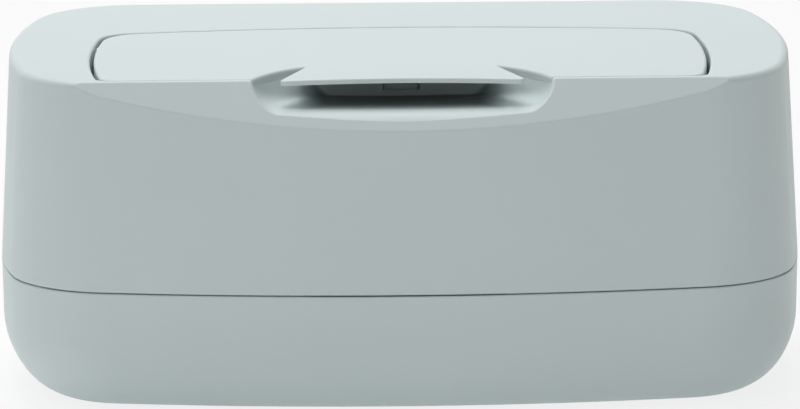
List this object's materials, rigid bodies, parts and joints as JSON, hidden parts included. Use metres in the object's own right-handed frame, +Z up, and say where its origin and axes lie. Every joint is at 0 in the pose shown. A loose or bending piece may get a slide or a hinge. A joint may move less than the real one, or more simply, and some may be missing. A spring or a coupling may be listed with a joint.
{
  "type": "baby wipes box",
  "caption": "Countertop baby wipes box with a lift-off cover, a flush flip lid with a flared finger tab over a scoop, and a loose weighted plate with a slot inside.",
  "frame": {"origin": "middle of the box's plan, on the surface that its feet stand on", "axes": "+X to the right as seen from the front, +Y from the front to the rear, +Z up"},
  "size_m": [0.25, 0.15, 0.1061],
  "materials": {
    "shell": "fine satin moulded polypropylene, pale sage grey",
    "liner": "satin moulded polypropylene",
    "plate": "satin moulded polypropylene",
    "seal": "soft matte silicone",
    "foot": "soft matte silicone",
    "pin": "drawn stainless steel",
    "weight": "plain zinc-plated steel bar"
  },
  "bodies": {
    "tray": {"base_tray": "shell", "base_seal": "seal", "foot_front_left": "foot", "foot_front_right": "foot", "foot_rear_left": "foot", "foot_rear_right": "foot"},
    "cover": {"cover_shell": "shell", "hinge_pin_left": "pin", "hinge_pin_right": "pin"},
    "lid": {"lid_panel": "shell", "lid_liner": "liner", "lid_seal": "seal"},
    "plate": {"plate_top": "plate", "plate_bottom": "plate", "plate_weight_front": "weight", "plate_weight_rear": "weight"}
  },
  "joints": [
    {"name": "cover_lift", "type": "slide", "parent": "tray", "child": "cover", "axis": [0, 0, 1], "range_m": [0, 0.08]},
    {"name": "lid_hinge", "type": "hinge", "parent": "cover", "child": "lid", "pos_m": [0, 0.006, 0.10174], "axis": [-1, 0, 0], "range_deg": [0, 100]},
    {"name": "plate_slide", "type": "slide", "parent": "tray", "child": "plate", "axis": [0, 0, 1], "range_m": [0, 0.062]}
  ]
}
